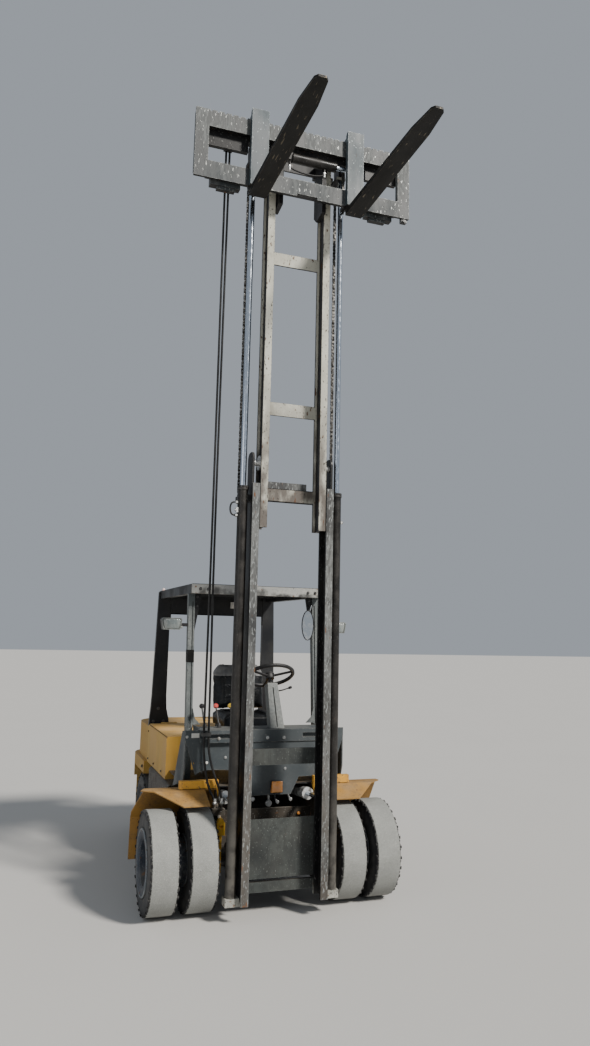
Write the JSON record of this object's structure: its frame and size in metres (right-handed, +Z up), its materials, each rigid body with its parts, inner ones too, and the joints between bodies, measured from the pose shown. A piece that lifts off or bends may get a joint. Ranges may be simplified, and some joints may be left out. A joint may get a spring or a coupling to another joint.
{
  "type": "forklift truck",
  "caption": "Counterbalanced forklift truck with twin front tyres, two-stage mast fully raised, side-shifting fork frame, two forks and overhead guard.",
  "frame": {"origin": "on the ground, midway between the fork tips and the tail of the counterweight", "axes": "+X to the driver's left, -Y to the front where the forks point, +Z up"},
  "size_m": [1.81, 4.1978, 5.49],
  "materials": {
    "body_yellow": "dusty ochre paint",
    "chassis_orange": "worn orange-yellow paint",
    "frame_black": "black paint worn to mottled steel",
    "cowl_grey": "blue-grey paint",
    "guard_dark": "dark grey paint",
    "mast_cream": "cream paint chipped with rust",
    "fork_steel": "blue-grey scratched steel",
    "cast": "painted casting",
    "barrel_brown": "oily brown-black",
    "chrome": "polished rod",
    "chain": "oiled leaf chain",
    "tyre": "worn dusty rubber",
    "rim": "dusty dark paint",
    "black_plastic": "satin",
    "hose": "matt",
    "seat_vinyl": "worn vinyl",
    "lamp": "lens and shell",
    "red_lamp": "lens",
    "amber": "weathered amber plastic",
    "cylinder_silver": "silver paint"
  },
  "bodies": {
    "chassis": {"chassis_frame": "chassis_orange", "front_axle": "frame_black", "engine": "barrel_brown", "counterweight": "cast", "steer_axle": "frame_black", "floor_plate": "frame_black", "cowl": "cowl_grey", "steering_column": "cowl_grey", "levers": "black_plastic", "overhead_guard": "guard_dark", "guard_roof": "guard_dark", "fenders": "chassis_orange", "work_lights": "lamp", "mirror": "black_plastic", "rear_lamps": "red_lamp", "hose_tails": "hose", "hose_clamp": "frame_black", "tail_grille": "frame_black", "cowl_marker": "amber"},
    "steering_wheel": {"steering_wheel": "black_plastic"},
    "hood": {"hood": "body_yellow", "seat_base": "black_plastic", "seat_cushion": "seat_vinyl", "seat_backrest": "seat_vinyl"},
    "front_wheels_left": {"front_tyres_left": "tyre", "front_rims_left": "rim"},
    "front_wheels_right": {"front_tyres_right": "tyre", "front_rims_right": "rim"},
    "knuckle_left": {"rear_knuckle_left": "frame_black"},
    "knuckle_right": {"rear_knuckle_right": "frame_black"},
    "rear_wheel_left": {"rear_tyre_left": "tyre", "rear_rim_left": "rim"},
    "rear_wheel_right": {"rear_tyre_right": "tyre", "rear_rim_right": "rim"},
    "outer_mast": {"outer_mast": "frame_black", "lift_barrels": "barrel_brown", "barrel_loop": "hose", "chain_strands": "chain", "lift_hoses": "hose"},
    "inner_mast": {"inner_mast": "mast_cream", "lift_rods": "chrome", "chain_sheaves": "frame_black"},
    "carriage": {"carriage": "frame_black", "chain_ends": "chain", "shift_barrel": "barrel_brown", "shift_hose": "hose"},
    "fork_frame": {"fork_frame": "fork_steel", "shift_rod": "chrome"},
    "fork_left": {"fork_left": "fork_steel"},
    "fork_right": {"fork_right": "fork_steel"},
    "tilt_barrel_left": {"tilt_barrel_left": "cylinder_silver"},
    "tilt_barrel_right": {"tilt_barrel_right": "cylinder_silver"},
    "tilt_rod_left": {"tilt_rod_left": "chrome"},
    "tilt_rod_right": {"tilt_rod_right": "chrome"}
  },
  "joints": [
    {"name": "front_wheels_left_spin", "type": "hinge", "parent": "chassis", "child": "front_wheels_left", "pos_m": [0.6415, -0.345, 0.327], "axis": [1, 0, 0], "continuous": true},
    {"name": "front_wheels_right_spin", "type": "hinge", "parent": "chassis", "child": "front_wheels_right", "pos_m": [-0.6415, -0.345, 0.327], "axis": [1, 0, 0], "continuous": true},
    {"name": "steer_left", "type": "hinge", "parent": "chassis", "child": "knuckle_left", "pos_m": [0.372, 1.455, 0.285], "axis": [0, 0, 1], "range_deg": [-70, 70]},
    {"name": "steer_right", "type": "hinge", "parent": "chassis", "child": "knuckle_right", "pos_m": [-0.372, 1.455, 0.285], "axis": [0, 0, 1], "range_deg": [-70, 70]},
    {"name": "rear_wheel_left_spin", "type": "hinge", "parent": "knuckle_left", "child": "rear_wheel_left", "pos_m": [0.522, 1.455, 0.285], "axis": [1, 0, 0], "continuous": true},
    {"name": "rear_wheel_right_spin", "type": "hinge", "parent": "knuckle_right", "child": "rear_wheel_right", "pos_m": [-0.522, 1.455, 0.285], "axis": [1, 0, 0], "continuous": true},
    {"name": "steering_wheel_turn", "type": "hinge", "parent": "chassis", "child": "steering_wheel", "pos_m": [0.09, 0.007, 1.512], "axis": [0, 0.4695, 0.8829], "continuous": true},
    {"name": "hood_lift", "type": "hinge", "parent": "chassis", "child": "hood", "pos_m": [0, 1.32, 1.02], "axis": [1, 0, 0], "range_deg": [-60, 0]},
    {"name": "mast_tilt", "type": "hinge", "parent": "chassis", "child": "outer_mast", "pos_m": [0, -0.345, 0.327], "axis": [1, 0, 0], "range_deg": [-10, 6]},
    {"name": "mast_lift", "type": "slide", "parent": "outer_mast", "child": "inner_mast", "axis": [0, 0, 1], "range_m": [-2.4, 0], "deforming": ["chain_strands", "lift_hoses"]},
    {"name": "carriage_lift", "type": "slide", "parent": "inner_mast", "child": "carriage", "axis": [0, 0, 1], "range_m": [-2.4, 0]},
    {"name": "side_shift", "type": "slide", "parent": "carriage", "child": "fork_frame", "axis": [1, 0, 0], "range_m": [-0.1, 0.1]},
    {"name": "fork_left_slide", "type": "slide", "parent": "fork_frame", "child": "fork_left", "axis": [1, 0, 0], "range_m": [-0.27, 0.32]},
    {"name": "fork_right_slide", "type": "slide", "parent": "fork_frame", "child": "fork_right", "axis": [1, 0, 0], "range_m": [-0.36, 0.27]},
    {"name": "tilt_barrel_left_swing", "type": "hinge", "parent": "chassis", "child": "tilt_barrel_left", "pos_m": [0.304, 0.135, 0.668], "axis": [1, 0, 0], "range_deg": [-3.3, 2.1]},
    {"name": "tilt_rod_left_slide", "type": "slide", "parent": "tilt_barrel_left", "child": "tilt_rod_left", "axis": [0, -0.997, 0.078], "range_m": [-0.07, 0.042]},
    {"name": "tilt_barrel_right_swing", "type": "hinge", "parent": "chassis", "child": "tilt_barrel_right", "pos_m": [-0.304, 0.135, 0.668], "axis": [1, 0, 0], "range_deg": [-3.3, 2.1]},
    {"name": "tilt_rod_right_slide", "type": "slide", "parent": "tilt_barrel_right", "child": "tilt_rod_right", "axis": [0, -0.997, 0.078], "range_m": [-0.07, 0.042]}
  ],
  "couplings": [
    {"joint": "steer_right", "follows": "steer_left", "ratio": 1},
    {"joint": "carriage_lift", "follows": "mast_lift", "ratio": 1},
    {"joint": "tilt_barrel_left_swing", "follows": "mast_tilt", "ratio": 0.31},
    {"joint": "tilt_rod_left_slide", "follows": "mast_tilt", "m_per_rad": 0.382},
    {"joint": "tilt_barrel_right_swing", "follows": "mast_tilt", "ratio": 0.31},
    {"joint": "tilt_rod_right_slide", "follows": "mast_tilt", "m_per_rad": 0.382}
  ]
}
